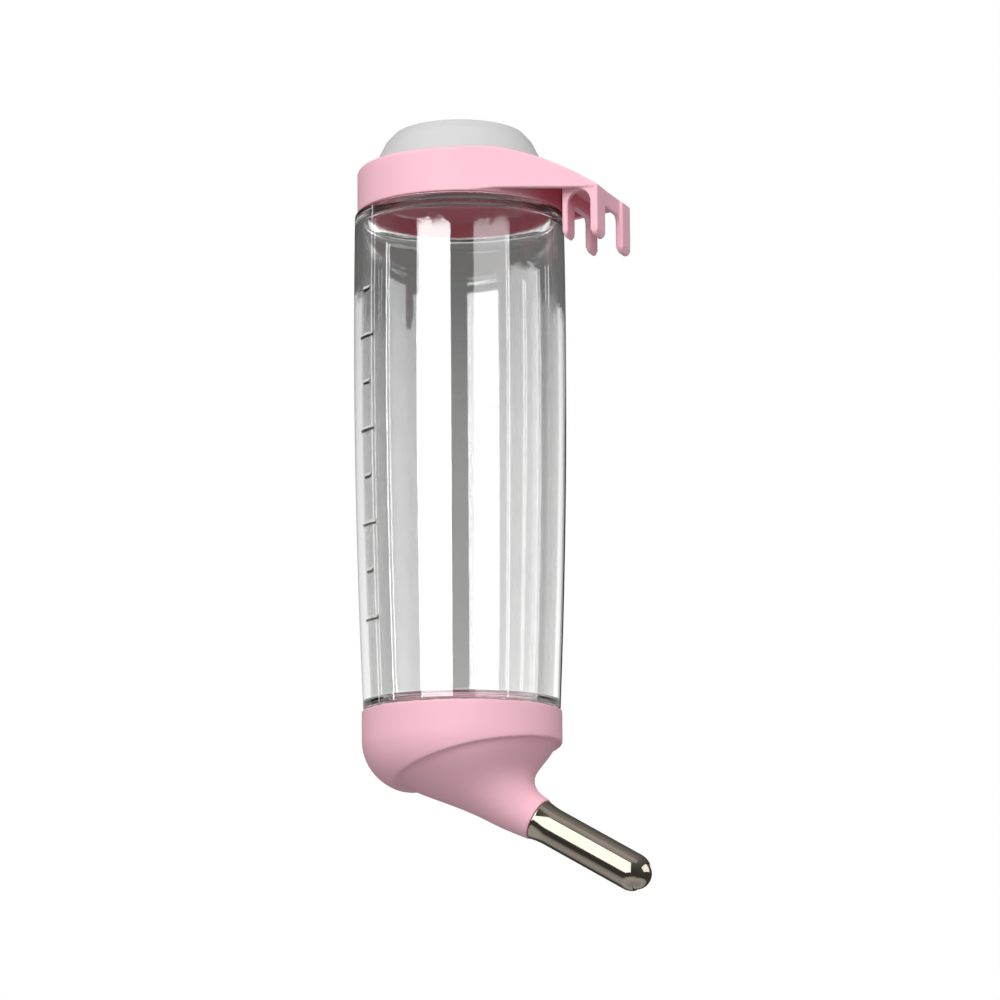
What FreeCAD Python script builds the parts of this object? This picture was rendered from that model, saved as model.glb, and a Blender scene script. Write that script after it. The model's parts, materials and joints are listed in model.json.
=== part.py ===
import FreeCAD, Part
import os
from math import atan2, cos, hypot, radians, sin, sqrt

import Sketcher

# A hanging drinking bottle for rabbits. The origin is the centre of the cage wire in the hook's seat.
# +Z is up, and +X points from the bottle through the wire into the cage, along the hook's arm.
# Every height is measured from the wire's centre, and every length is in millimetres.

DIMENSIONS = {
    # The hook on the collar
    "axis_offset": 45.8,        # from the cage wire to the bottle's axis
    "seat_radius": 4.0,         # half-round seat, which is half the width of the wire channel
    "inner_claw": 1.8,          # thickness of the two claws on the bottle's side of the wire
    "outer_claw": 2.5,          # thickness of the two claws on the cage's side of the wire
    "rail_recess": 1.0,         # the outer rail stands this far back between its two claws
    "claw_tip": -11.3,          # height of the claws' tips
    "rail_edge": 0.5,           # height of the rails' lower edge between the claws
    "head_half_width": 16.5,
    "inner_half_width": 14.8,
    "gap_half_width": 8.5,      # half of the gap that lets an upright cage wire pass
    "inner_gap_half_width": 7.5,
    "inner_root": 9.4,          # the claws run up into the arm's roof as far as this
    "outer_root": 4.9,
    "inner_claw_lift": 0.6,     # the inner claws are this much shorter
    "claw_taper": 2.0,          # the claws narrow over this height at their tips
    "claw_chamfer": 0.7,
    "gap_corner": 2.2,
    "saddle_start": 12.6,       # the seat is cut in two webs, from here out to the side walls
    "saddle_drop": 1.4,         # the webs' tops slope down to the outer claws from below the inner ones
    "seat_cover": 1.6,          # the gap between the webs runs this far above the seat
    # The collar's ring and arm
    "collar_bottom": 3.4,
    "collar_top": 17.9,
    "collar_radius": 32.7,
    "collar_bore": 31.0,
    "collar_roof": 1.8,
    "collar_hole": 22.8,
    "collar_edge": 1.6,
    "collar_inner_edge": 2.6,
    "arm_wall": 2.0,
    "arm_tangent_x": 11.0,      # the arm's side walls leave the ring here
    "arm_slope_start": 21.0,    # the arm's roof slopes down from here
    "arm_roof_curve": 80.0,     # the roof is a shallow arch in side view
    "arm_end_height": 5.0,      # height of the roof at the arm's far end
    "arm_corner": 5.0,          # length of the arm's rounded far corners
    "arm_corner_step": 0.6,
    "arm_corner_curve": 16.0,
    "arm_bottom": 4.4,          # the arm's lower edge, a little above the ring's
    "arm_rise_start": 8.0,      # the lower edge climbs from the ring's edge between here
    "arm_rise_end": 24.0,       # and here
    # The clear bottle
    "body_crest": 34.0,         # largest radius
    "crest_height": -30.0,
    "body_ledge_radius": 33.5,
    "body_curve": 2480.0,       # radius of the wall's slight barrel
    "body_base_radius": 31.0,
    "body_wall": 2.2,
    "ledge_top": 3.1,
    "ledge_edge": 0.9,
    "swivel_radius": 30.94,
    "dome_start": 9.4,
    "dome_end": 14.6,
    "dome_curve": 17.0,
    "dome_drop": 1.4,           # the dome's inside is this much lower than its outside
    "shoulder_drop": 5.0,       # the wall swells smoothly inwards over this height, up to the ledge
    "floor_rise": 4.2,          # the bottle's rounded inner bottom edge starts this far above its base
    "floor_step": 1.6,
    "floor_curve": 2.2,
    "base_land": 1.0,           # height of the straight edge at the bottle's base
    "neck_radius": 20.4,
    "neck_bore": 18.4,
    "neck_top": 26.1,
    "base_ledge": -156.5,
    "base_neck_radius": 27.3,
    "base_neck_bore": 25.0,
    "base_neck_end": -163.1,
    "thread_depth": 1.2,
    "thread_width": 0.9,
    "thread_pitch": 2.5,
    "thread_turns": 1.25,       # turns of the bottle's own two threads
    "grip_turns": 1.0,          # turns of the threads inside the cap and the cup
    "cup_thread_start": -161.5, # height of the middle of each of the bottle's threads where it starts
    "filler_thread_start": 20.4,
    "thread_root": 0.3,         # how far a thread's root is sunk into the wall that carries it
    "tick_rise": 0.35,
    "tick_root": 0.8,
    "tick_height": 0.9,
    "tick_step": 30.0,          # height of 100 ml in the bottle
    "tick_first": -129.8,
    "tick_angle": 14.0,
    "tick_turn": 220.0,
    # The filler cap and its seal
    "cap_bottom": 18.2,
    "cap_top": 30.5,
    "cap_base_radius": 27.4,
    "cap_waist_radius": 25.3,
    "cap_waist": 23.3,
    "cap_shoulder_radius": 23.6,
    "cap_shoulder": 26.5,
    "cap_flat_radius": 16.0,
    "cap_flare_curve": 20.0,
    "cap_shoulder_curve": 8.4,
    "cap_bore": 22.6,
    "cap_bore_end": 24.1,
    "cap_pocket_radius": 21.1,
    "seal_hole": 14.5,
    "seal_radius": 20.9,
    "seal_thick": 1.6,
    "seal_gap": 0.05,
    # The bottom cup
    "cup_top": -156.8,
    "cup_radius": 31.5,
    "cup_bore": 28.95,
    "cup_band_end": -165.8,
    "cup_curve": 16.3,
    "cup_ledge": -164.4,
    "gasket_thick": 1.2,
    "gasket_bore": 24.2,
    "scoop_radius": 200.0,
    "scoop_cage_x": 34.0,
    "scoop_cage_z": -166.7,
    "scoop_back_x": -27.0,
    "scoop_back_z": -184.1,
    # The drinking nozzle, along its own axis from the face of the cup's spout
    "spout_x": 25.3,            # from the bottle's axis to the middle of the spout's face
    "spout_z": -191.95,
    "nozzle_dip": 29.7,         # degrees below the horizontal
    "spout_radius": 6.9,
    "spout_neck": 2.0,          # length of the spout's last, nearly straight stretch
    "spout_taper": 0.2,
    "socket_depth": 12.0,
    "socket_step": 5.0,
    "socket_radius": 6.8,
    "tube_radius": 5.95,
    "tube_wall": 0.5,
    "tube_length": 38.32,
    "lip_start": 34.95,         # the tube's end curves in from here
    "lip_radius": 4.9,
    "lip_inner_radius": 4.6,    # the ball rests on this inner edge
    "lip_inner_end": 38.0,
    "tube_play": 0.04,
    "tube_end_gap": 0.1,
    "flare_gap": 0.05,
    "flare_radius": 6.6,
    "flare_end": 1.2,
    "flare_taper": 5.0,
    "ball_radius": 4.9,
    "ball_gap": 0.03,
    "spring_radius": 4.3,
    "spring_wire": 0.35,
    "spring_turns": 8.0,
    "stop_front": 3.0,
    "stop_back": 0.0,
    "stop_bore": 2.6,
    # Shared
    "sink": 0.5,                # how far a rib is sunk into the wall that carries it
    "past": 1.0,                # how far a cut runs past the surface it opens
}

# Marks on the bottle's scale, one for every 50 ml. The long and short ones alternate.
TICKS = 8

# The funnel under the cup is lofted through ellipses. Each runs in the arm's plane from a point on its
# cage side to a point on its back, both given from the bottle's axis, with its half width across.
FUNNEL_OUTSIDE = [
    ((30.4, -164.6), (-22.6, -177.4), 28.4),
    ((27.4, -170.4), (-13.6, -182.4), 23.6),
    ((23.9, -175.2), (-3.4, -186.4), 17.0),
    ((23.1, -179.4), (7.0, -191.0), 11.6),
    ((24.6, -182.6), (14.6, -194.8), 8.6),
]
FUNNEL_INSIDE = [
    ((23.2, -163.6), (-23.8, -164.2), 23.6),
    ((22.6, -169.6), (-19.0, -176.2), 21.6),
    ((20.4, -175.0), (-5.5, -182.4), 13.8),
    ((18.6, -179.0), (5.0, -187.2), 8.6),
]


class Length:
    """A size and the spreadsheet expression that gives it."""

    def __init__(self, value, text):
        self.value = value
        self.text = text

    def __add__(self, other):
        return joined(self, "+", other, self.value + number(other))

    def __sub__(self, other):
        return joined(self, "-", other, self.value - number(other))

    def __mul__(self, other):
        return joined(self, "*", other, self.value * number(other))

    def __truediv__(self, other):
        return joined(self, "/", other, self.value / number(other))

    def __neg__(self):
        return Length(-self.value, f"(0 - {self.text})")

    __radd__ = __add__
    __rmul__ = __mul__


def number(size):
    return size.value if isinstance(size, Length) else float(size)


def text(size):
    return size.text if isinstance(size, Length) else repr(float(size))


def joined(first, sign, second, value):
    return Length(value, f"({text(first)} {sign} {text(second)})")


class Sizes:
    """The spreadsheet's cells, each as an attribute that is a Length."""

    def __init__(self, document):
        sheet = document.addObject("Spreadsheet::Sheet", "dims")
        for row, (name, value) in enumerate(DIMENSIONS.items(), start=1):
            sheet.set(f"A{row}", name)
            sheet.set(f"B{row}", str(value))
            sheet.setAlias(f"B{row}", name)
            setattr(self, name, Length(value, f"dims.{name}"))
        document.recompute()


doc = FreeCAD.newDocument("rabbit_water_bottle")
d = Sizes(doc)
vector = FreeCAD.Vector


# ---------------------------------------------------------------- sketches and bodies

def plane_of(body, role):
    return next(plane for plane in body.Origin.OriginFeatures if plane.Role == role)


def pin_corner(sketch, edge, end, across, up):
    """Hold one vertex of the sketch at its two sizes from the sketch's origin."""
    for kind, axis, size in (("DistanceX", -2, across), ("DistanceY", -1, up)):
        if number(size) == 0.0:
            sketch.addConstraint(Sketcher.Constraint("PointOnObject", edge, end, axis))
            continue
        index = sketch.addConstraint(Sketcher.Constraint(kind, -1, 1, edge, end, number(size)))
        sketch.setExpression(f"Constraints[{index}]", text(size))


def arc_between(start, end, radius):
    """An arc that turns left from start to end, or right when its radius is negative."""
    chord = end - start
    half = chord.Length / 2
    rise = sqrt(radius * radius - half * half)
    left = vector(-chord.y, chord.x, 0).normalize()
    centre = (start + end) / 2 + left * (rise if radius > 0 else -rise)
    circle = Part.Circle(centre, vector(0, 0, 1), abs(radius))
    first, last = (start, end) if radius > 0 else (end, start)
    angles = [atan2(point.y - centre.y, point.x - centre.x) for point in (first, last)]
    return Part.ArcOfCircle(circle, angles[0], angles[1])


def draw_loop(sketch, corners):
    """Close a loop through corners given as (across, up) or (across, up, radius). A radius makes the edge
    that arrives at that corner an arc, turning left if it is positive and right if it is negative."""
    places = [vector(number(corner[0]), number(corner[1]), 0) for corner in corners]
    ends = []
    for index, corner in enumerate(corners):
        start = places[index - 1]
        end = places[index]
        if len(corner) == 2:
            edge = sketch.addGeometry(Part.LineSegment(start, end), False)
            ends.append((edge, 1, 2))
            continue
        radius = number(corner[2])
        edge = sketch.addGeometry(arc_between(start, end, radius), False)
        ends.append((edge, 1, 2) if radius > 0 else (edge, 2, 1))
    for index, (edge, first, last) in enumerate(ends):
        following, start, _ = ends[(index + 1) % len(ends)]
        sketch.addConstraint(Sketcher.Constraint("Coincident", edge, last, following, start))
    for (edge, first, last), corner in zip(ends, corners):
        pin_corner(sketch, edge, last, corner[0], corner[1])
        if len(corner) == 3:
            size = corner[2] if number(corner[2]) > 0 else -corner[2]
            index = sketch.addConstraint(Sketcher.Constraint("Radius", edge, abs(number(size))))
            sketch.setExpression(f"Constraints[{index}]", text(size))


def new_sketch(body, name, role, *loops):
    sketch = body.newObject("Sketcher::SketchObject", name)
    sketch.AttachmentSupport = [(plane_of(body, role), "")]
    sketch.MapMode = "FlatFace"
    for corners in loops:
        draw_loop(sketch, corners)
    return sketch


def new_body(label):
    body = doc.addObject("PartDesign::Body", label)
    body.Label = label
    return body


def place_on_bottle(body):
    """The bottle's axis is the body's own Z axis."""
    body.setExpression("Placement.Base.x", f"0 - {d.axis_offset.text}")


def nozzle_placement(along):
    """A place on the nozzle's axis, this far out from the spout's face, with Z pointing outwards."""
    dip = radians(d.nozzle_dip.value)
    across = d.spout_x.value - d.axis_offset.value + along * cos(dip)
    up = d.spout_z.value - along * sin(dip)
    turn = FreeCAD.Rotation(vector(0, 1, 0), 90 + d.nozzle_dip.value)
    return FreeCAD.Placement(vector(across, 0, up), turn)


def place_on_nozzle(body):
    """The nozzle's axis is the body's own Z axis, from the spout's face outwards."""
    body.Placement = nozzle_placement(0.0)
    body.setExpression("Placement.Base.x", (d.spout_x - d.axis_offset).text)
    body.setExpression("Placement.Base.z", d.spout_z.text)
    body.setExpression("Placement.Rotation.Angle", f"90 + {d.nozzle_dip.text}")


def revolve(body, name, corners):
    """A turned shape. Its corners are (radius, height)."""
    sketch = new_sketch(body, name + "_section", "XZ_Plane", corners)
    feature = body.newObject("PartDesign::Revolution", name)
    feature.Profile = sketch
    feature.ReferenceAxis = (sketch, ["V_Axis"])
    feature.Angle = 360
    doc.recompute()
    return feature


def thread_section(wall, outward, middle):
    """The section of a thread's ridge on a wall of this radius, at this height."""
    way = 1 if outward else -1
    root = wall - d.thread_root * way
    crest = wall + d.thread_depth * way
    foot = d.thread_width / 2 + d.thread_depth / 4
    nose = d.thread_width / 2 - d.thread_depth / 4
    return [(root, middle - foot), (crest, middle - nose), (crest, middle + nose), (root, middle + foot)]


def add_thread(body, name, wall, outward, middle, turns):
    sketch = new_sketch(body, name + "_section", "XZ_Plane", thread_section(wall, outward, middle))
    ridge = body.newObject("PartDesign::AdditiveHelix", name)
    ridge.Profile = sketch
    ridge.ReferenceAxis = (sketch, ["V_Axis"])
    ridge.Mode = "pitch-turns-angle"
    ridge.setExpression("Pitch", d.thread_pitch.text)
    ridge.setExpression("Turns", turns.text)
    doc.recompute()


# ---------------------------------------------------------------- the hanger collar

def cut_side(body, name, view):
    """Cut the shape of a side view right through the body."""
    sketch = new_sketch(body, name + "_side", "XZ_Plane", view)
    pocket = body.newObject("PartDesign::Pocket", name)
    pocket.Profile = sketch
    pocket.Type = "ThroughAll"
    pocket.Midplane = True
    doc.recompute()


def arm_block(body, name, head_end, inset):
    """The arm's outer shape, or with an inset the same shape inside its walls and roof."""
    tangent_y = sqrt(d.collar_radius.value ** 2 - d.arm_tangent_x.value ** 2)
    side = tangent_y - number(inset)
    end = head_end - inset
    half = d.head_half_width - inset
    wide = half + d.arm_corner_step
    plan = [
        (d.arm_tangent_x, -side),
        (end - d.arm_corner, -wide),
        (end, -half, d.arm_corner_curve),
        (end, half),
        (end - d.arm_corner, wide, d.arm_corner_curve),
        (d.arm_tangent_x, side),
    ]
    sketch = new_sketch(body, name + "_plan", "XY_Plane", plan)
    sketch.setExpression("AttachmentOffset.Base.z", d.collar_bottom.text)
    block = body.newObject("PartDesign::Pad", name)
    block.Profile = sketch
    block.setExpression("Length", (d.collar_top - d.collar_bottom).text)
    doc.recompute()
    above = d.collar_top + d.past
    beyond = head_end + d.past
    over_roof = [
        (d.arm_slope_start, above),
        (d.arm_slope_start, d.collar_top - inset),
        (head_end, d.arm_end_height - inset, -d.arm_roof_curve),
        (beyond, d.arm_end_height - inset),
        (beyond, above),
    ]
    cut_side(body, name + "_roof", over_roof)


def hanger_collar():
    body = new_body("hanger_collar")
    place_on_bottle(body)
    head_end = d.axis_offset + d.seat_radius + d.outer_claw
    channel_in = d.axis_offset - d.seat_radius
    channel_out = d.axis_offset + d.seat_radius
    arm_block(body, "arm", head_end, 0.0)
    beyond = head_end + d.past
    under_arm = [
        (d.arm_rise_start, d.collar_bottom - d.past),
        (beyond, d.collar_bottom - d.past),
        (beyond, d.arm_bottom),
        (d.arm_rise_end, d.arm_bottom),
        (d.arm_rise_start, d.collar_bottom),
    ]
    cut_side(body, "arm_underside", under_arm)
    core = new_body("arm_core")
    arm_block(core, "core", head_end, d.arm_wall)
    hollow = body.newObject("PartDesign::Boolean", "arm_hollow")
    hollow.setObjects([core])
    hollow.Type = "Cut"
    doc.recompute()

    ring = [
        (d.collar_hole - d.past, d.collar_bottom),
        (d.collar_radius, d.collar_bottom),
        (d.collar_radius, d.collar_top - d.collar_edge),
        (d.collar_radius - d.collar_edge, d.collar_top, d.collar_edge),
        (d.collar_hole - d.past, d.collar_top),
    ]
    revolve(body, "ring", ring)

    ceiling = d.collar_top - d.collar_roof
    bore = [
        (0.0, d.collar_bottom - d.past),
        (d.collar_bore, d.collar_bottom - d.past),
        (d.collar_bore, ceiling - d.collar_inner_edge),
        (d.collar_bore - d.collar_inner_edge, ceiling, d.collar_inner_edge),
        (d.collar_hole, ceiling),
        (d.collar_hole, d.collar_top + d.past),
        (0.0, d.collar_top + d.past),
    ]
    sketch = new_sketch(body, "bore_section", "XZ_Plane", bore)
    cut = body.newObject("PartDesign::Groove", "bore")
    cut.Profile = sketch
    cut.ReferenceAxis = (sketch, ["V_Axis"])
    cut.Angle = 360
    doc.recompute()

    def across_pad(name, width, *loops):
        """Side views in the arm's plane, carried the same way to both sides."""
        profile = new_sketch(body, name + "_side", "XZ_Plane", *loops)
        pad = body.newObject("PartDesign::Pad", name)
        pad.Profile = profile
        pad.Midplane = True
        pad.setExpression("Length", (width * 2).text)
        doc.recompute()

    inner_back = channel_in - d.inner_claw
    inner_tip = d.claw_tip + d.inner_claw_lift
    inner_claw = [
        (inner_back, d.inner_root),
        (inner_back, inner_tip + d.claw_taper),
        (inner_back + d.claw_chamfer, inner_tip),
        (channel_in - d.claw_chamfer, inner_tip),
        (channel_in, inner_tip + d.claw_taper),
        (channel_in, d.inner_root),
    ]
    across_pad("inner_rail", d.inner_half_width, inner_claw)
    outer_claw = [
        (channel_out, d.outer_root),
        (channel_out, d.claw_tip + d.claw_taper),
        (channel_out + d.claw_chamfer, d.claw_tip),
        (head_end - d.claw_chamfer, d.claw_tip),
        (head_end, d.claw_tip + d.claw_taper),
        (head_end, d.outer_root),
    ]
    across_pad("outer_rail", d.head_half_width, outer_claw)
    sunk_in = channel_in - d.sink
    sunk_out = channel_out + d.sink
    web_top = d.inner_root - d.saddle_drop
    saddle = [
        (sunk_in, web_top),
        (sunk_in, 0.0),
        (channel_in, 0.0),
        (d.axis_offset, d.seat_radius, -d.seat_radius),
        (channel_out, 0.0, -d.seat_radius),
        (sunk_out, 0.0),
        (sunk_out, d.outer_root),
    ]
    across_pad("wire_seat", d.inner_half_width, saddle)
    root_top = d.arm_bottom + d.sink
    claw_root = [
        (d.axis_offset, root_top),
        (d.axis_offset, d.seat_radius),
        (channel_out, 0.0, -d.seat_radius),
        (sunk_out, 0.0),
        (sunk_out, root_top),
    ]
    across_pad("claw_root", d.head_half_width, claw_root)

    def cut_between(name, half_width, bottom, top, corner, start, end):
        """Take out the middle of the hook, from start to end along the arm."""
        view = [
            (half_width, bottom),
            (half_width, top - corner),
            (half_width - corner, top, corner),
            (corner - half_width, top),
            (-half_width, top - corner, corner),
            (-half_width, bottom),
        ]
        profile = new_sketch(body, name + "_front", "YZ_Plane", view)
        profile.setExpression("AttachmentOffset.Base.z", start.text)
        pocket = body.newObject("PartDesign::Pocket", name)
        pocket.Profile = profile
        pocket.Reversed = True
        pocket.setExpression("Length", (end - start).text)
        before = body.Shape.Volume
        doc.recompute()
        assert pocket.Shape.Volume < before - 1, name + " cut nothing"

    deep = d.claw_tip - d.past
    high = d.collar_top + d.past
    cut_between("inner_gap", d.inner_gap_half_width, deep, d.rail_edge, d.gap_corner,
                inner_back - d.past, channel_in + d.past)
    cut_between("outer_gap", d.gap_half_width, deep, d.rail_edge, d.gap_corner,
                channel_out - d.past, beyond)
    cut_between("seat_gap", d.saddle_start, deep, d.seat_radius + d.seat_cover, d.gap_corner,
                channel_in, channel_out)
    cut_between("rail_step", d.gap_half_width, deep, high, d.gap_corner,
                head_end - d.rail_recess, beyond)
    return body


# ---------------------------------------------------------------- the clear bottle

def bottle_body():
    body = new_body("bottle_body")
    place_on_bottle(body)
    inside_ledge = d.body_ledge_radius - d.body_wall
    inside_base = d.body_base_radius - d.body_wall
    inside_swivel = d.swivel_radius - d.body_wall
    floor = d.base_ledge + d.body_wall
    swell = inside_ledge - inside_swivel
    shoulder_curve = (d.shoulder_drop * d.shoulder_drop + swell * swell) / (swell * 4)
    section = [
        (d.base_neck_bore, d.base_neck_end),
        (d.base_neck_radius, d.base_neck_end),
        (d.base_neck_radius, d.base_ledge),
        (d.body_base_radius, d.base_ledge),
        (d.body_base_radius, d.base_ledge + d.base_land),
        (d.body_ledge_radius, d.ledge_top - d.ledge_edge, d.body_curve),
        (d.body_ledge_radius - d.ledge_edge, d.ledge_top, d.ledge_edge),
        (d.swivel_radius, d.ledge_top),
        (d.swivel_radius, d.dome_start),
        (d.neck_radius, d.dome_end, d.dome_curve),
        (d.neck_radius, d.neck_top),
        (d.neck_bore, d.neck_top),
        (d.neck_bore, d.dome_end - d.dome_drop),
        (inside_swivel, d.dome_start - d.dome_drop, d.body_wall - d.dome_curve),
        (inside_swivel, d.ledge_top),
        (inside_swivel + swell / 2, d.ledge_top - d.shoulder_drop / 2, shoulder_curve),
        (inside_ledge, d.ledge_top - d.shoulder_drop, -shoulder_curve),
        (inside_base, d.base_ledge + d.floor_rise, -d.body_curve),
        (inside_base - d.floor_step, floor, -d.floor_curve),
        (d.base_neck_bore, floor - d.base_land),
    ]
    revolve(body, "wall", section)
    add_thread(body, "filler_thread", d.neck_radius, True, d.filler_thread_start, d.thread_turns)
    add_thread(body, "cup_thread", d.base_neck_radius, True, d.cup_thread_start, d.thread_turns)

    ticks = []
    for step in range(TICKS):
        height = d.tick_first + d.tick_step * step / 2
        drop = (height.value - d.crest_height.value) ** 2 / (2 * d.body_curve.value)
        root = d.body_crest - drop - d.tick_root
        crest = d.body_crest - drop + d.tick_rise
        top = height + d.tick_height
        ticks.append([(root, height), (crest, height), (crest, top), (root, top)])
    for name, marks, share in (("long_ticks", ticks[0::2], 1.0), ("short_ticks", ticks[1::2], 0.5)):
        sketch = new_sketch(body, name + "_section", "XZ_Plane", *marks)
        turn = FreeCAD.Rotation(vector(0, 1, 0), d.tick_turn.value)
        sketch.AttachmentOffset = FreeCAD.Placement(vector(0, 0, 0), turn)
        band = body.newObject("PartDesign::Revolution", name)
        band.Profile = sketch
        band.ReferenceAxis = (sketch, ["V_Axis"])
        band.Midplane = True
        band.setExpression("Angle", (d.tick_angle * share).text)
        doc.recompute()
    return body


# ---------------------------------------------------------------- the filler cap and the two seals

def filler_cap():
    body = new_body("filler_cap")
    place_on_bottle(body)
    roof = d.neck_top + d.seal_thick + d.seal_gap * 2
    section = [
        (0.0, d.cap_top),
        (0.0, roof),
        (d.cap_pocket_radius, roof),
        (d.cap_pocket_radius, d.cap_bore_end + d.past),
        (d.cap_bore, d.cap_bore_end),
        (d.cap_bore, d.cap_bottom),
        (d.cap_base_radius, d.cap_bottom),
        (d.cap_waist_radius, d.cap_waist, -d.cap_flare_curve),
        (d.cap_shoulder_radius, d.cap_shoulder),
        (d.cap_flat_radius, d.cap_top, d.cap_shoulder_curve),
    ]
    revolve(body, "shell", section)
    below = d.filler_thread_start - d.thread_pitch / 2
    add_thread(body, "cap_thread", d.cap_bore, False, below, d.grip_turns)
    return body


def turned(label, section):
    body = new_body(label)
    revolve(body, label + "_shape", section)
    return body


def washer(label, bore, radius, low, high):
    body = turned(label, [(bore, low), (radius, low), (radius, high), (bore, high)])
    place_on_bottle(body)
    return body


# ---------------------------------------------------------------- the bottom cup

def turned_solid(corners):
    """A turned solid from (radius, height) corners, with arcs as in a sketch."""
    places = [vector(number(corner[0]), 0, number(corner[1])) for corner in corners]
    edges = []
    for index, corner in enumerate(corners):
        start = places[index - 1]
        end = places[index]
        if len(corner) == 2:
            edges.append(Part.makeLine(start, end))
            continue
        flat = arc_between(vector(start.x, start.z, 0), vector(end.x, end.z, 0), number(corner[2])).toShape()
        flat.rotate(vector(0, 0, 0), vector(1, 0, 0), 90)
        edges.append(flat)
    face = Part.Face(Part.Wire(edges))
    return face.revolve(vector(0, 0, 0), vector(0, 0, 1), 360)


def ellipse_wire(cage_side, back, half_width):
    """An ellipse across the funnel, through two points of the arm's plane."""
    front = vector(cage_side[0], 0, cage_side[1])
    rear = vector(back[0], 0, back[1])
    middle = (front + rear) / 2
    half = (front - rear).Length / 2
    along = (front - rear).normalize()
    across = vector(0, 1, 0)
    points = []
    for step in range(24):
        turn = radians(15.0 * step)
        points.append(middle + along * (half * cos(turn)) + across * (half_width * sin(turn)))
    curve = Part.BSplineCurve()
    curve.interpolate(points, PeriodicFlag=True)
    return Part.Wire(curve.toShape())


def nozzle_point(along, off_axis):
    """A point of the arm's plane, from its place along the nozzle's axis and its distance above it."""
    dip = radians(d.nozzle_dip.value)
    return (
        d.spout_x.value + along * cos(dip) + off_axis * sin(dip),
        d.spout_z.value - along * sin(dip) + off_axis * cos(dip),
    )


def nozzle_ring(along, radius):
    return (nozzle_point(along, radius), nozzle_point(along, -radius), radius)


def funnel(sections):
    return Part.makeLoft([ellipse_wire(*section) for section in sections], True, False)


def nozzle_cylinder(radius, start, end):
    dip = radians(d.nozzle_dip.value)
    direction = vector(cos(dip), 0, -sin(dip))
    across, up = nozzle_point(start, 0)
    return Part.makeCylinder(radius, end - start, vector(across, 0, up), direction)


def inner_thread(wall, middle):
    """A ridge that turns inwards on the cup's bore, between the bottle's own ridges."""
    height = d.thread_pitch.value * d.grip_turns.value
    helix = Part.makeHelix(d.thread_pitch.value, height, wall.value)
    helix.translate(vector(0, 0, number(middle)))
    corners = [vector(number(x), 0, number(z)) for x, z in thread_section(wall, False, middle)]
    profile = Part.makePolygon(corners + corners[:1])
    return Part.Wire(helix).makePipeShell([profile], True, True)


def base_cup():
    cup = doc.addObject("Part::Feature", "base_cup")
    cup.Label = "base_cup"
    flat = d.cup_radius - d.cup_curve
    bottom = d.cup_band_end - d.cup_curve
    bowl = turned_solid([
        (0.0, d.cup_top),
        (0.0, bottom),
        (flat, bottom),
        (d.cup_radius, d.cup_band_end, d.cup_curve),
        (d.cup_radius, d.cup_top),
    ])
    back = vector(d.scoop_back_x.value, d.scoop_back_z.value, 0)
    cage = vector(d.scoop_cage_x.value, d.scoop_cage_z.value, 0)
    brow = arc_between(back, cage, -d.scoop_radius.value).toShape()
    bowl_width = 2 * d.cup_radius.value
    lowest = vector(0, bottom.value - bowl_width, 0)
    below = [vector(cage.x, lowest.y, 0), vector(back.x, lowest.y, 0)]
    sides = [Part.makeLine(cage, below[0]), Part.makeLine(below[0], below[1]), Part.makeLine(below[1], back)]
    scoop = Part.Face(Part.Wire([brow] + sides)).extrude(vector(0, 0, 2 * bowl_width))
    scoop.translate(vector(0, 0, -bowl_width))
    scoop.rotate(vector(0, 0, 0), vector(1, 0, 0), 90)
    spout = nozzle_ring(0.0, d.spout_radius.value)
    neck = nozzle_ring(-d.spout_neck.value, d.spout_radius.value + d.spout_taper.value)
    outside = funnel(FUNNEL_OUTSIDE + [neck, spout])
    cavity = turned_solid([
        (0.0, d.cup_top + d.past),
        (0.0, d.cup_ledge),
        (d.cup_bore, d.cup_ledge),
        (d.cup_bore, d.cup_top + d.past),
    ])
    tube = d.tube_radius.value - d.tube_wall.value
    depth = d.socket_depth.value
    step = d.socket_step.value
    passage = funnel(FUNNEL_INSIDE + [nozzle_ring(-depth, tube), nozzle_ring(-step, tube)])
    socket = nozzle_cylinder(d.socket_radius.value, -depth, -step)
    past = d.past.value
    mouth = nozzle_cylinder(d.tube_radius.value + d.tube_play.value, -step - past, past)
    hollow = cavity.fuse(passage).fuse(socket).fuse(mouth)
    shape = bowl.cut(scoop).fuse(outside).cut(hollow)
    middle = d.cup_thread_start + d.thread_pitch / 2
    shape = shape.fuse(inner_thread(d.cup_bore, middle)).removeSplitter()
    cup.Shape = shape
    cup.Placement = FreeCAD.Placement(vector(-d.axis_offset.value, 0, 0), FreeCAD.Rotation())
    return cup


# ---------------------------------------------------------------- the drinking nozzle

def nozzle_tube():
    inside = d.tube_radius - d.tube_wall
    start = d.tube_end_gap - d.socket_depth
    body = turned("nozzle_tube", [
        (inside, start),
        (d.tube_radius, start),
        (d.tube_radius, d.flare_gap),
        (d.flare_radius, d.flare_gap),
        (d.flare_radius, d.flare_end),
        (d.tube_radius, d.flare_taper),
        (d.tube_radius, d.lip_start),
        (d.lip_radius, d.tube_length, d.tube_radius),
        (d.lip_inner_radius, d.lip_inner_end),
        (inside, d.lip_start, -inside),
    ])
    place_on_nozzle(body)
    return body


def nozzle_sleeve():
    start = d.tube_end_gap - d.socket_depth
    end = -d.socket_step - d.tube_end_gap
    body = turned("nozzle_sleeve", [
        (d.tube_radius, start),
        (d.socket_radius, start),
        (d.socket_radius, end),
        (d.tube_radius, end),
    ])
    place_on_nozzle(body)
    return body


def ball_centre():
    """The ball rests on the inner edge of the tube's lip."""
    contact = sqrt(d.ball_radius.value ** 2 - d.lip_inner_radius.value ** 2)
    return d.lip_inner_end - contact - d.ball_gap


def tip_ball():
    ball = doc.addObject("Part::Sphere", "tip_ball")
    ball.Label = "tip_ball"
    ball.setExpression("Radius", d.ball_radius.text)
    ball.Placement = nozzle_placement(ball_centre().value)
    doc.recompute()
    return ball


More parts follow.
